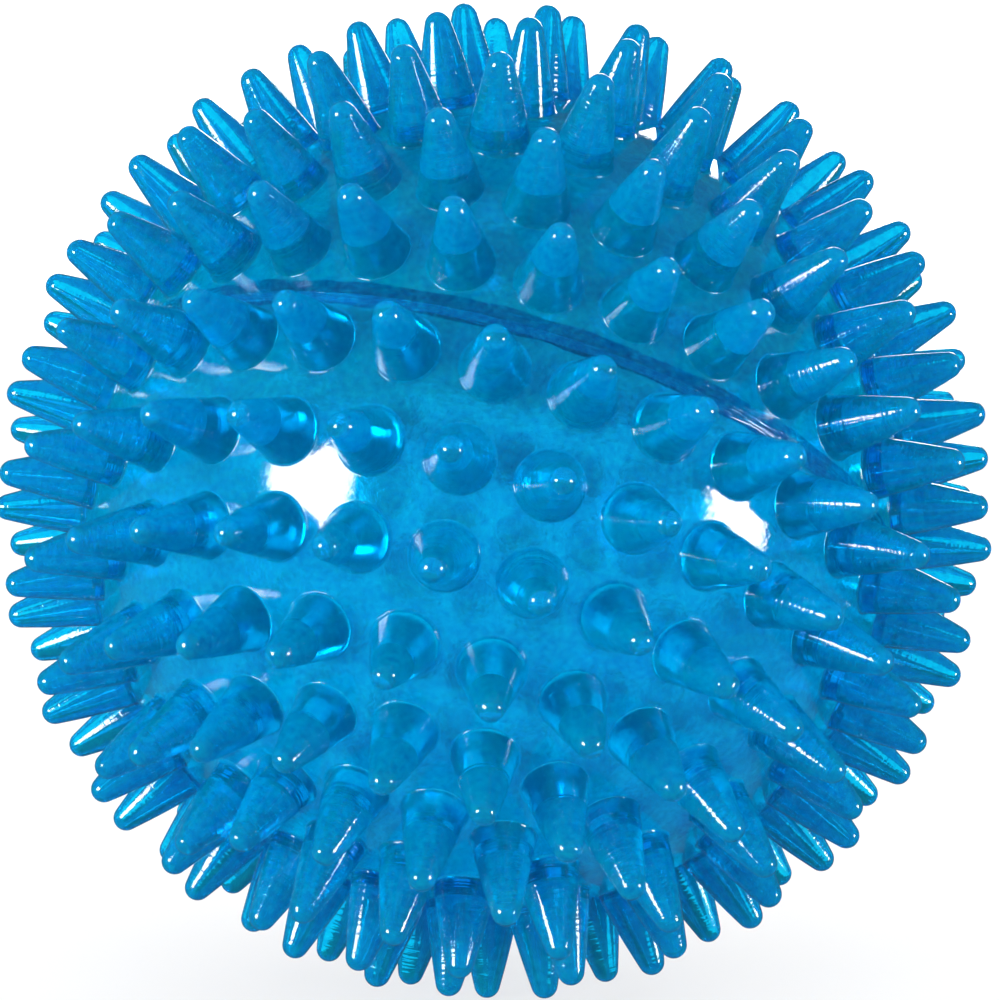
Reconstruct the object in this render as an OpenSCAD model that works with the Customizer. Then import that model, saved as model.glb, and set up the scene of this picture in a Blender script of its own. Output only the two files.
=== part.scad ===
// Spiky massage ball: a hollow soft ball, moulded as two half shells with solid
// round-tipped spikes, and welded together round its middle.
// It lies on three neighbouring spikes, with the weld leaning back and to one side.
// Origin: the ball's centre. Z is up, and the leaning weld faces -Y.

/* [Ball] */
// Diameter over the tips of the spikes
ball_d = 100; // [60:1:150]
// Diameter of the skin between the spikes, as a share of the whole
skin_share = 0.822; // [0.78:0.001:0.87]
// Thickness of the skin
wall_t = 2.5; // [1.5:0.1:4]

/* [Spikes] */
// Radius of a spike where it meets the skin
spike_base_r = 3.05; // [2.4:0.05:3.3]
// Radius of the rounded tip
spike_tip_r = 1.3; // [0.6:0.05:1.6]
// How far the small flare at a spike's root stands out from it, and up it
root_flare = 0.35; // [0.1:0.05:0.5]
// Latitude of the first ring, counted from the weld
first_ring_lat = 6.5; // [6:0.1:8]
// Step in latitude from one ring to the next
ring_step = 11.93; // [11.5:0.01:12]
// Number of spikes in each ring of a half, from the weld to the pole
ring_counts = [32, 30, 28, 24, 20, 14, 7];
// How far each ring of the upper half is turned, in steps of its own spacing
upper_stagger = [0.3, 0.4, 0.2, 0.3, 0.3, 0, 0.5];
// How far each ring of the lower half is turned, in steps of its own spacing
lower_stagger = [0, 0.4, 0, 0.8, 0, 0.05, 0.6];

/* [Weld] */
// Width of the weld at the skin
weld_w = 2; // [1:0.1:2.4]
// Depth of the groove that the weld fills
weld_depth = 1.4; // [0.8:0.1:1.4]
// Height of the weld's crown above the skin
weld_rise = 0.15; // [0.05:0.05:0.3]

/* [Attitude] */
// Direction that the raised side of the weld faces, counted round Z
facing = 61; // [0:1:359]

/* [Hidden] */
$fn = 48;
BALL_FN = 144;

UPPER = 1;
LOWER = -1;
skin_colour = "deepskyblue";
weld_colour = "lightskyblue";

tip_r = ball_d / 2;
skin_r = tip_r * skin_share;
hollow_r = skin_r - wall_t;
root_z = skin_r - wall_t / 2;          // a spike starts half way down the wall
tip_centre_z = tip_r - spike_tip_r;

// A spike's side is a cone that runs from its base circle on to the tip's ball as a tangent.
base_to_tip = tip_centre_z - skin_r;
cone_angle = atan2(spike_base_r, base_to_tip)
           - asin(spike_tip_r / norm([spike_base_r, base_to_tip]));
tangent_z = tip_centre_z + spike_tip_r * sin(cone_angle);
tangent_r = spike_tip_r * cos(cone_angle);
function cone_r(z) = tangent_r + (tangent_z - z) * tan(cone_angle);

// The flare starts a little under the skin, which curves away from the spike.
flare_z = skin_r - root_flare / 2;
flare_top_z = skin_r + root_flare;
flare_r = spike_base_r + 1.5 * root_flare;

// The unit vector to spike i of ring k, with the poles of the ball on Z
function ring_lat(k) = first_ring_lat + k * ring_step;
function spike_turn(stagger, k, i) = (i + stagger[k]) * 360 / ring_counts[k];
function direction(turn, lat) = [cos(lat) * cos(turn), cos(lat) * sin(turn), sin(lat)];
function lower_spike(k, i) = direction(spike_turn(lower_stagger, k, i), -ring_lat(k));

// The three spikes that the ball lies on: two of the fifth ring and one of the sixth.
// The plane through their tips becomes the floor, and down is the normal of that plane.
feet = [lower_spike(4, 3), lower_spike(4, 4), lower_spike(5, 2)];
feet_cross = cross(feet[1] - feet[0], feet[2] - feet[0]);
down = feet_cross / norm(feet_cross) * sign(feet_cross * feet[0]);
lean = acos(-down[2]);
lean_turn = atan2(down[1], down[0]);

// Half the width of the weld's groove grows with height at this rate.
groove_floor_r = skin_r - weld_depth;
groove_slope = weld_w / 2 / weld_depth;

module as_it_lies() {
    rotate([0, 0, facing]) rotate([0, lean, 0]) rotate([0, 0, -lean_turn]) children();
}

// One spike on the Z axis, with its root inside the skin
module spike() {
    translate([0, 0, root_z])
        cylinder(h = tangent_z - root_z, r1 = cone_r(root_z), r2 = tangent_r);
    translate([0, 0, tip_centre_z]) sphere(r = spike_tip_r);
    translate([0, 0, flare_z])
        cylinder(h = flare_top_z - flare_z, r1 = flare_r, r2 = cone_r(flare_top_z));
}

module spikes(side, stagger) {
    for (k = [0 : len(ring_counts) - 1], i = [0 : ring_counts[k] - 1])
        rotate([0, 90 - side * ring_lat(k), spike_turn(stagger, k, i)]) spike();
    rotate([0, 90 - side * 90, 0]) spike();
}

// A ring round the equator with a V section that opens outwards
module weld_groove() {
    past_skin = weld_depth + 1;
    rotate_extrude($fn = BALL_FN)
        polygon([[groove_floor_r, 0],
                 [groove_floor_r + past_skin, past_skin * groove_slope],
                 [groove_floor_r + past_skin, -past_skin * groove_slope]]);
}

// A ball whose own poles and seam line lie on the equator, where no spike stands
module ball(r) {
    rotate([90, 0, 0]) sphere(r = r, $fn = BALL_FN);
}

module half_shell(side, stagger) {
    cut_h = tip_r + 1;
    difference() {
        union() {
            ball(skin_r);
            spikes(side, stagger);
        }
        ball(hollow_r);
        translate([0, 0, side > 0 ? -cut_h : 0]) cylinder(h = cut_h, r = skin_r + 1, $fn = BALL_FN);
        weld_groove();
    }
}

module upper_half() { color(skin_colour) as_it_lies() half_shell(UPPER, upper_stagger); }

module lower_half() { color(skin_colour) as_it_lies() half_shell(LOWER, lower_stagger); }

// The weld fills the groove and stands a little proud of the skin, with a low crown.
module seam_weld() {
    half_w = weld_w / 2;
    color(weld_colour) as_it_lies() rotate_extrude($fn = BALL_FN)
        polygon([[groove_floor_r, 0],
                 [skin_r, half_w],
                 [skin_r + 0.8 * weld_rise, half_w / 2],
                 [skin_r + weld_rise, 0],
                 [skin_r + 0.8 * weld_rise, -half_w / 2],
                 [skin_r, -half_w]]);
}

upper_half();
lower_half();
seam_weld();
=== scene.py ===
"""A clear blue spiky massage ball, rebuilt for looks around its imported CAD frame.

The frame gives the place of every spike and of the weld. Each half is made here as one closed
shell with a real wall, so that light bends through it: skin, spikes, hollow side and rim.
Everything is in metres, with the ball's centre at the origin.
"""

import math
import random

import bpy
from mathutils import Matrix, Vector, noise
from mathutils.geometry import delaunay_2d_cdt
from mathutils.kdtree import KDTree


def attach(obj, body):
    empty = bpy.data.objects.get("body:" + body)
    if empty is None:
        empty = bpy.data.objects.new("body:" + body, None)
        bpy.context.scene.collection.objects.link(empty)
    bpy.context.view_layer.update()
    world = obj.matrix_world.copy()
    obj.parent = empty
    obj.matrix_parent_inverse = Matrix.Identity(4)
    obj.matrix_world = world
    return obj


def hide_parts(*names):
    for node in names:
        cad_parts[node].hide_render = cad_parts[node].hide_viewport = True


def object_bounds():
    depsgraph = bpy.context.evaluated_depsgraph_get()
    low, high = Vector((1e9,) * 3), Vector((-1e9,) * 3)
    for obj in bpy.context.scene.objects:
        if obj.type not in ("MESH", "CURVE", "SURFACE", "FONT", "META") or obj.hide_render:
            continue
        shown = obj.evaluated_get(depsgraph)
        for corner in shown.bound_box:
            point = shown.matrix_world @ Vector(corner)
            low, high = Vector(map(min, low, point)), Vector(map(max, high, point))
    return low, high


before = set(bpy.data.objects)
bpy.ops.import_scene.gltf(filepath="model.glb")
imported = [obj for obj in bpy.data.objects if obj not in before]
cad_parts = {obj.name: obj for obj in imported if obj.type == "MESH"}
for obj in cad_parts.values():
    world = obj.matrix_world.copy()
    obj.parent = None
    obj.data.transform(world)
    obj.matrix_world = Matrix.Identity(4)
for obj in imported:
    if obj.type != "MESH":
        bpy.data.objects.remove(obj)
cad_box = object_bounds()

MM = 0.001
Z = Vector((0, 0, 1))
CAD_POINTS = {name: [v.co.copy() for v in node.data.vertices] for name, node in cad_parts.items()}

# Sizes of the ball, in the CAD's proportions
TIP_R = max(p.length for p in CAD_POINTS["upper_half"])
SKIN_SHARE = 0.822
WALL_T = 2.5 * MM
SKIN_R = SKIN_SHARE * TIP_R
HOLLOW_R = SKIN_R - WALL_T
SPIKE_BASE_R = 3.05 * MM
SPIKE_TIP_R = 1.3 * MM
SPIKE_BULGE = 0.08 * MM  # how far a spike's side swells from a straight cone
ROOT_FILLET = 0.16 * MM
WELD_HALF_W = 1.2 * MM
FLOOR_Z = cad_box[0].z

# How far the moulded surfaces stray from their true shapes
SKIN_RIPPLE = 0.035 * MM
HOLLOW_RIPPLE = 0.12 * MM
SPIKE_BEND = 0.12 * MM

# Fineness of the meshes
RIM_STEPS = 360
SPIKE_SIDES = 24
SKIN_SPACING = 1.1 * MM
HOLLOW_SPACING = 1.6 * MM
FLARE_STEPS = 5
SIDE_STEPS = 8
TIP_STEPS = 6
WELD_STEPS = 900
WELD_ACROSS = 56
SHARP_ANGLE = math.radians(50)

# The rims of the halves all but touch, and the weld lies just clear of the skin's ripple,
# so that light enters and leaves each piece cleanly.
RIM_GAP = 0.02 * MM
WELD_GAP = 0.05 * MM

# The camera looks along +Y, a little downwards.
CAMERA_DISTANCE = 6.63 * SKIN_R
CAMERA_ELEVATION = math.radians(3.7)
CAMERA_ROLL = math.radians(1.3)
CAMERA_LENS = 96.4
CAMERA_SHIFT = (0.0053, 0.0014)

# Brightness of the light tent, and of its mirror image in the gloss
TENT_STRENGTH = 1.5
TENT_IN_GLOSS = 0.07
LIGHT_DISTANCE = 1.0

FLOOR_RADIUS = 4.0
FLOOR_SIDES = 96
FLOOR_GREY = 0.2
FLOOR_GLOW = 0.75

# The plastic. The first of each pair is for the hollow side, and the second is for the skin.
REFRACTIVE_INDEX = 1.5
ABSORB_COLOUR = (0.3, 0.965, 0.996, 1)
ABSORB_DENSITY = 1000
ROUGHNESS = (0.09, 0.03)
PEEL_STRENGTH = (0.5, 0.3)
PEEL_DEPTH = 0.08 * MM
PEEL_SCALE = 700
MARK_STRENGTH = 0.8
MARK_DEPTH = 0.05 * MM
MARK_CELLS_AROUND = 90
MARK_CELLS_UP = 3300
CLOUD_SCALE = 1500
CLOUD_TINT = (0, 0.58, 0.82)  # what is left of the tint's channels in the deepest cloud

# Sockets of a Mix node that mixes colours
MIX_FACTOR, MIX_A, MIX_B = 0, 6, 7
MIX_RESULT = 2


# ---------------------------------------------------------------- camera, lights and floor

def link_to_scene(thing):
    bpy.context.scene.collection.objects.link(thing)
    return thing


def add_camera():
    data = bpy.data.cameras.new("camera")
    data.lens = CAMERA_LENS
    data.shift_x, data.shift_y = CAMERA_SHIFT
    data.clip_start = 0.01
    camera = link_to_scene(bpy.data.objects.new("camera", data))
    tilt = Matrix.Rotation(math.pi / 2 - CAMERA_ELEVATION, 3, "X")
    turn = tilt @ Matrix.Rotation(CAMERA_ROLL, 3, "Z")
    camera.rotation_euler = turn.to_euler()
    camera.location = turn @ Vector((0, 0, CAMERA_DISTANCE))
    bpy.context.scene.camera = camera


def add_softbox(name, azimuth, elevation, size, radiance):
    """A rectangular softbox. Azimuth runs from the camera's side to the right."""
    a, e = math.radians(azimuth), math.radians(elevation)
    away = Vector((math.sin(a) * math.cos(e), -math.cos(a) * math.cos(e), math.sin(e)))
    data = bpy.data.lights.new(name, "AREA")
    data.shape = "RECTANGLE"
    data.size, data.size_y = size
    data.energy = radiance * math.pi * size[0] * size[1]
    light = link_to_scene(bpy.data.objects.new(name, data))
    light.location = LIGHT_DISTANCE * away
    light.rotation_euler = away.to_track_quat("Z", "Y").to_euler()
    return light


def add_world():
    """White all round, as in a light tent. Only its mirror image in the gloss is held down."""
    world = bpy.data.worlds.new("light_tent")
    bpy.context.scene.world = world
    world.use_nodes = True
    tree = world.node_tree
    path = tree.nodes.new("ShaderNodeLightPath")
    strength = tree.nodes.new("ShaderNodeMapRange")
    strength.inputs["To Min"].default_value = TENT_STRENGTH
    strength.inputs["To Max"].default_value = TENT_IN_GLOSS
    back = tree.nodes["Background"]
    back.inputs["Color"].default_value = (1, 1, 1, 1)
    tree.links.new(path.outputs["Is Glossy Ray"], strength.inputs["Value"])
    tree.links.new(strength.outputs["Result"], back.inputs["Strength"])


def add_floor():
    """A wide pale disc that glows a little, as a sheet lit from below does."""
    turns = [2 * math.pi / FLOOR_SIDES * i for i in range(FLOOR_SIDES)]
    edge = [(FLOOR_RADIUS * math.cos(turn), FLOOR_RADIUS * math.sin(turn), FLOOR_Z) for turn in turns]
    mesh = bpy.data.meshes.new("floor")
    mesh.from_pydata(edge, [], [range(FLOOR_SIDES)])
    floor = link_to_scene(bpy.data.objects.new("floor", mesh))
    floor.visible_glossy = False
    pale = bpy.data.materials.new("pale_floor")
    pale.use_nodes = True
    bsdf = pale.node_tree.nodes["Principled BSDF"]
    bsdf.inputs["Base Color"].default_value = (FLOOR_GREY, FLOOR_GREY, FLOOR_GREY, 1)
    bsdf.inputs["Specular IOR Level"].default_value = 0
    bsdf.inputs["Emission Color"].default_value = (1, 1, 1, 1)
    bsdf.inputs["Emission Strength"].default_value = FLOOR_GLOW
    mesh.materials.append(pale)


# ---------------------------------------------------------------- material

class Nodes:
    """Makes and joins the shader nodes of one material."""

    def __init__(self, material):
        material.use_nodes = True
        self.tree = material.node_tree
        self.shader = self.tree.nodes["Principled BSDF"]
        self.output = self.tree.nodes["Material Output"]

    def add(self, kind, inputs=None, **settings):
        made = self.tree.nodes.new("ShaderNode" + kind)
        for key, value in settings.items():
            setattr(made, key, value)
        for key, value in (inputs or {}).items():
            self.feed(made, key, value)
        return made

    def feed(self, target, socket, value):
        if isinstance(value, bpy.types.NodeSocket):
            self.tree.links.new(value, target.inputs[socket])
        else:
            target.inputs[socket].default_value = value


def tint_of(nodes, place, by_side, outer_tint, hollow_tint):
    """The tint, with faint clouds in the plastic that make the skin and spikes a little uneven."""
    clouds = nodes.add("TexNoise", {"Vector": place, "Scale": CLOUD_SCALE, "Detail": 4, "Roughness": 0.7})
    depth = nodes.add("MapRange", {"Value": clouds.outputs["Fac"], "From Min": 0.3, "From Max": 0.7})
    deep_tint = [part * channel for part, channel in zip(CLOUD_TINT, outer_tint)] + [1]
    cloudy = nodes.add("Mix", {MIX_FACTOR: depth.outputs["Result"], MIX_A: outer_tint, MIX_B: deep_tint},
                       data_type="RGBA")
    tint = nodes.add("Mix", {MIX_FACTOR: by_side(1, 0), MIX_A: cloudy.outputs[MIX_RESULT],
                             MIX_B: hollow_tint}, data_type="RGBA")
    return tint.outputs[MIX_RESULT]


def normal_of(nodes, place, radius, by_side):
    """Fine turning marks of the mould, and over them the orange peel of the plastic."""
    # The marks ring every spike, because they follow the distance from the ball's centre.
    height = nodes.add("Math", {0: radius, 1: MARK_CELLS_UP / MARK_CELLS_AROUND}, operation="MULTIPLY")
    marks = nodes.add("TexNoise", {"Vector": place, "W": height.outputs[0], "Scale": MARK_CELLS_AROUND,
                                   "Detail": 1}, noise_dimensions="4D")
    ringed = nodes.add("Bump", {"Height": marks.outputs["Fac"], "Strength": MARK_STRENGTH,
                                "Distance": MARK_DEPTH})
    peel = nodes.add("TexNoise", {"Vector": place, "Scale": PEEL_SCALE, "Detail": 5, "Roughness": 0.6})
    both = nodes.add("Bump", {"Height": peel.outputs["Fac"], "Strength": by_side(*PEEL_STRENGTH),
                              "Distance": PEEL_DEPTH, "Normal": ringed.outputs["Normal"]})
    return both.outputs["Normal"]


def clear_plastic(name, outer_tint, hollow_tint, clarity):
    """Clear, glossy soft plastic. Its depth of colour comes from what it absorbs on the way."""
    material = bpy.data.materials.new(name)
    nodes = Nodes(material)
    place = nodes.add("TexCoord").outputs["Object"]
    radius = nodes.add("VectorMath", {0: place}, operation="LENGTH").outputs["Value"]

    # The hollow side was never polished: it is duller and more uneven than the skin.
    # A point is on the one side or the other by its distance from the ball's centre.
    reach = {"Value": radius, "From Min": HOLLOW_R + 0.8 * MM, "From Max": HOLLOW_R + 1.2 * MM}

    def by_side(hollow, outer):
        return nodes.add("MapRange", {**reach, "To Min": hollow, "To Max": outer}).outputs["Result"]

    nodes.feed(nodes.shader, "Base Color", tint_of(nodes, place, by_side, outer_tint, hollow_tint))
    nodes.feed(nodes.shader, "Roughness", by_side(*ROUGHNESS))
    nodes.feed(nodes.shader, "Normal", normal_of(nodes, place, radius, by_side))
    nodes.feed(nodes.shader, "IOR", REFRACTIVE_INDEX)
    nodes.feed(nodes.shader, "Transmission Weight", clarity)
    absorb = nodes.add("VolumeAbsorption", {"Color": ABSORB_COLOUR, "Density": ABSORB_DENSITY})
    nodes.feed(nodes.output, "Volume", absorb.outputs["Volume"])
    return material


# ---------------------------------------------------------------- shapes

def spike_axes(node_name):
    """Unit vectors along a half's spikes, each through the furthest point of a tip in the CAD mesh."""
    tips = [p for p in CAD_POINTS[node_name] if p.length > TIP_R - 0.02 * MM]
    same_spike = 0.995  # cosine of the angle between two points of one tip, at the least
    axes = []
    for tip in sorted(tips, key=lambda p: -p.length):
        axis = tip.normalized()
        if all(axis.dot(other) < same_spike for other in axes):
            axes.append(axis)
    return axes


def spike_profile():
    """Points (distance from the axis, distance from the ball's centre) from the skin to the tip."""
    tip_centre = TIP_R - SPIKE_TIP_R
    rise = tip_centre - SKIN_R
    slope = math.atan2(SPIKE_BASE_R, rise) - math.asin(SPIKE_TIP_R / math.hypot(SPIKE_BASE_R, rise))
    tip_edge = Vector((SPIKE_TIP_R * math.cos(slope), tip_centre + SPIKE_TIP_R * math.sin(slope)))

    def on_cone(height):
        return Vector((tip_edge.x + (tip_edge.y - height) * math.tan(slope), height))

    def on_skin(from_axis):
        return Vector((from_axis, math.sqrt(SKIN_R ** 2 - from_axis ** 2)))

    foot_r = SPIKE_BASE_R + ROOT_FILLET
    foot = on_skin(foot_r)
    corner = on_cone(SKIN_R - 0.1 * MM)
    top = on_cone(SKIN_R + 1.6 * ROOT_FILLET)
    # Two rings that lie in the skin keep the shading of the flare from spreading over it.
    points = [on_skin(foot_r + 0.35 * MM), on_skin(foot_r + 0.1 * MM)]
    for i in range(FLARE_STEPS):
        t = i / FLARE_STEPS
        points.append(foot * (1 - t) ** 2 + corner * 2 * t * (1 - t) + top * t ** 2)
    for i in range(SIDE_STEPS):
        t = i / SIDE_STEPS
        swell = Vector((SPIKE_BULGE * math.sin(math.pi * t), 0))
        points.append(on_cone(top.y + (tip_edge.y - top.y) * t) + swell)
    for i in range(TIP_STEPS):
        a = slope + (math.pi / 2 - slope) * i / TIP_STEPS
        points.append(Vector((SPIKE_TIP_R * math.cos(a), tip_centre + SPIKE_TIP_R * math.sin(a))))
    return points


def to_plane(direction):
    """Stereographic projection of a unit vector, which keeps circles round."""
    return Vector((direction.x, direction.y)) / (1 + direction.z)


def spread_directions(radius, spacing):
    """Unit vectors spread evenly over the upper half of a ball, on a golden-angle spiral."""
    count = int(2 * math.pi * (radius / spacing) ** 2)
    golden = math.pi * (3 - math.sqrt(5))
    spread = []
    for i in range(count):
        z = 1 - (i + 0.5) / count
        if z * radius > spacing / 2:
            out = math.sqrt(1 - z * z)
            spread.append(Vector((out * math.cos(golden * i), out * math.sin(golden * i), z)))
    return spread


class Shell:
    """Points and faces of one half, with its pole on Z and its rim just above the XY plane."""

    def __init__(self):
        self.points = []
        self.faces = []

    def add(self, point):
        self.points.append(point)
        return len(self.points) - 1

    def ring(self, centre, across, up, radius, sides, start=0.0):
        turn = 2 * math.pi / sides
        angles = [start + turn * i for i in range(sides)]
        spokes = [across * math.cos(angle) + up * math.sin(angle) for angle in angles]
        return [self.add(centre + spoke * radius) for spoke in spokes]

    def join(self, low, high):
        for i in range(len(low)):
            j = (i + 1) % len(low)
            self.faces.append((low[i], low[j], high[j], high[i]))

    def rim(self, radius):
        lift = RIM_GAP / 2
        from_axis = math.sqrt(radius ** 2 - lift ** 2)
        return self.ring(Z * lift, Vector((1, 0, 0)), Vector((0, 1, 0)), from_axis, RIM_STEPS)

    def spike(self, axis, profile, bend, start):
        """One spike that leans by bend at its tip. Returns its lowest ring, which lies in the skin."""
        across = axis.orthogonal().normalized()
        up = axis.cross(across)
        rings = []
        for from_axis, height in profile:
            along = max(0.0, height - SKIN_R) / (TIP_R - SKIN_R)
            centre = axis * height + bend * along ** 1.5
            rings.append(self.ring(centre, across, up, from_axis, SPIKE_SIDES, start))
        for low, high in zip(rings, rings[1:]):
            self.join(low, high)
        tip = self.add(axis * TIP_R + bend)
        last = rings[-1]
        self.faces += [(last[i], last[(i + 1) % SPIKE_SIDES], tip) for i in range(SPIKE_SIDES)]
        return rings[0]

    def sheet(self, radius, rim, holes, filling, faces_out):
        """Triangles over the ball of that radius, from the rim up, with a gap inside each hole."""
        loops = [rim] + holes
        ids, hole_of, edges = [], [], []
        for number, loop in enumerate(loops):
            start = len(ids)
            ids += loop
            hole_of += [number] * len(loop)
            edges += [(start + i, start + (i + 1) % len(loop)) for i in range(len(loop))]
        for direction in filling:
            ids.append(self.add(direction * radius))
            hole_of.append(0)
        flat = [to_plane(self.points[i].normalized()) for i in ids]
        _, _, triangles, origins, _, _ = delaunay_2d_cdt(flat, edges, [], 0, 1e-7)
        source = [origin[0] for origin in origins]
        for triangle in triangles:
            corners = [source[i] for i in triangle]
            inside = {hole_of[i] for i in corners}
            if len(inside) == 1 and inside != {0}:
                continue
            face = tuple(ids[i] for i in corners)
            self.faces.append(face if faces_out else face[::-1])


def weathered(point):
    """Moves a point off its true shape, as uneven moulding does."""
    direction = point.normalized()
    if point.length < SKIN_R - 0.5 * MM:
        ripple = 0.8 * noise.noise(direction * 7) + 0.3 * noise.noise(direction * 25)
        return point + direction * HOLLOW_RIPPLE * ripple
    near_skin = math.exp(-max(0.0, point.length - SKIN_R) / MM)
    ripple = 0.75 * noise.noise(direction * 9) + 0.35 * noise.noise(direction * 31)
    return point + direction * SKIN_RIPPLE * ripple * near_skin


def mesh_object(name, points, faces, material):
    mesh = bpy.data.meshes.new(name)
    mesh.from_pydata(points, [], faces)
    mesh.shade_smooth()
    mesh.set_sharp_from_angle(angle=SHARP_ANGLE)
    mesh.materials.append(material)
    return link_to_scene(bpy.data.objects.new(name, mesh))


def bend_of(axis, rng):
    """A small random lean, square to the spike's axis."""
    lean = Vector([rng.uniform(-SPIKE_BEND, SPIKE_BEND) for _ in range(3)])
    return lean - axis * lean.dot(axis)


def build_half(node_name, pole, material, rng):
    """One half as a single closed shell: skin with spikes, hollow side and rim."""
    to_pole = pole.rotation_difference(Z)
    axes = [to_pole @ axis for axis in spike_axes(node_name)]
    axes.sort(key=lambda a: (round(a.z, 2), round(math.atan2(a.y, a.x), 2)))
    shell = Shell()
    outer_rim, hollow_rim = shell.rim(SKIN_R), shell.rim(HOLLOW_R)
    profile = spike_profile()
    feet = [shell.spike(axis, profile, bend_of(axis, rng), rng.uniform(0, 1)) for axis in axes]

    nearest_axis = KDTree(len(axes))
    for i, axis in enumerate(axes):
        nearest_axis.insert(axis, i)
    nearest_axis.balance()
    clear = (profile[0].x + 0.45 * SKIN_SPACING) / SKIN_R
    between = [d for d in spread_directions(SKIN_R, SKIN_SPACING) if nearest_axis.find(d)[2] > clear]
    shell.sheet(SKIN_R, outer_rim, feet, between, faces_out=True)
    shell.sheet(HOLLOW_R, hollow_rim, [], spread_directions(HOLLOW_R, HOLLOW_SPACING), faces_out=False)
    shell.join(hollow_rim, outer_rim)

    from_pole = to_pole.inverted()
    points = [weathered(from_pole @ point) for point in shell.points]
    return mesh_object(node_name + "_shell", points, shell.faces, material)


def thread_height(around, across):
    """Height of the weld's fine threads, which run along it and wander a little."""
    wander = 0.5 * noise.noise(around * 5)
    lines = noise.noise(Vector((around.x * 5, around.y * 5, across * 6 + wander)))
    fine_lines = noise.noise(Vector((around.x * 9, around.y * 9, 20 + across * 13 + wander)))
    return 0.016 * MM * max(0.0, 1 - 7 * abs(lines)) + 0.010 * MM * max(0.0, 1 - 5 * abs(fine_lines))


def weld_section(around):
    """One section of the weld: over its crown from edge to edge, and back along the skin."""
    underside = SKIN_R + WELD_GAP
    half_w = WELD_HALF_W * (1 + 0.25 * noise.noise(around * 11))
    over, under = [], []
    for k in range(WELD_ACROSS + 1):
        s = 2 * k / WELD_ACROSS - 1
        edge = 1 - s ** 4
        radius = underside + 0.004 * MM + (0.03 * MM * (1 - s * s) + thread_height(around, s)) * edge
        over.append(around * math.sqrt(radius ** 2 - (s * half_w) ** 2) + Z * s * half_w)
    for s in (1, 0.5, 0, -0.5, -1):
        under.append(around * math.sqrt(underside ** 2 - (s * half_w) ** 2) + Z * s * half_w)
    return over + under


def build_weld(pole, material):
    """The weld: a low band over the joint of the halves."""
    from_pole = pole.rotation_difference(Z).inverted()
    points, faces = [], []
    for i in range(WELD_STEPS):
        a = 2 * math.pi * i / WELD_STEPS
        section = weld_section(Vector((math.cos(a), math.sin(a), 0)))
        points += [from_pole @ point for point in section]
    row = len(section)
    for i in range(WELD_STEPS):
        j = (i + 1) % WELD_STEPS
        for k in range(row):
            m = (k + 1) % row
            faces.append((i * row + k, j * row + k, j * row + m, i * row + m))
    return mesh_object("weld_band", points, faces, material)


def put_in_frame(piece, node_name):
    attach(piece, "root")
    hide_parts(node_name)


# ---------------------------------------------------------------- the scene

add_camera()
add_world()
add_floor()
add_softbox("softbox_left", azimuth=-50, elevation=5, size=(0.42, 0.34), radiance=27)
add_softbox("softbox_right", azimuth=67, elevation=1, size=(0.30, 0.28), radiance=27)
back_light = add_softbox("softbox_back", azimuth=168, elevation=24, size=(0.40, 0.30), radiance=8)
back_light.visible_transmission = False

blue = clear_plastic("soft_blue_plastic", (0.0, 0.74, 0.97, 1), (0.0, 0.70, 0.94, 1), clarity=0.83)
weld_blue = clear_plastic("weld_blue_plastic", (0.0, 0.86, 1.0, 1), (0.0, 0.86, 1.0, 1), clarity=0.96)
rng = random.Random(7)
up_pole = sum(spike_axes("upper_half"), Vector()).normalized()
for node_name, pole in (("upper_half", up_pole), ("lower_half", -up_pole)):
    put_in_frame(build_half(node_name, pole, blue, rng), node_name)
put_in_frame(build_weld(up_pole, weld_blue), "seam_weld")

# A ray through two spikes and both walls meets a dozen surfaces or more.
bounces = 24
scene = bpy.context.scene
scene.view_settings.view_transform = "Standard"
scene.cycles.max_bounces = bounces
scene.cycles.transmission_bounces = bounces
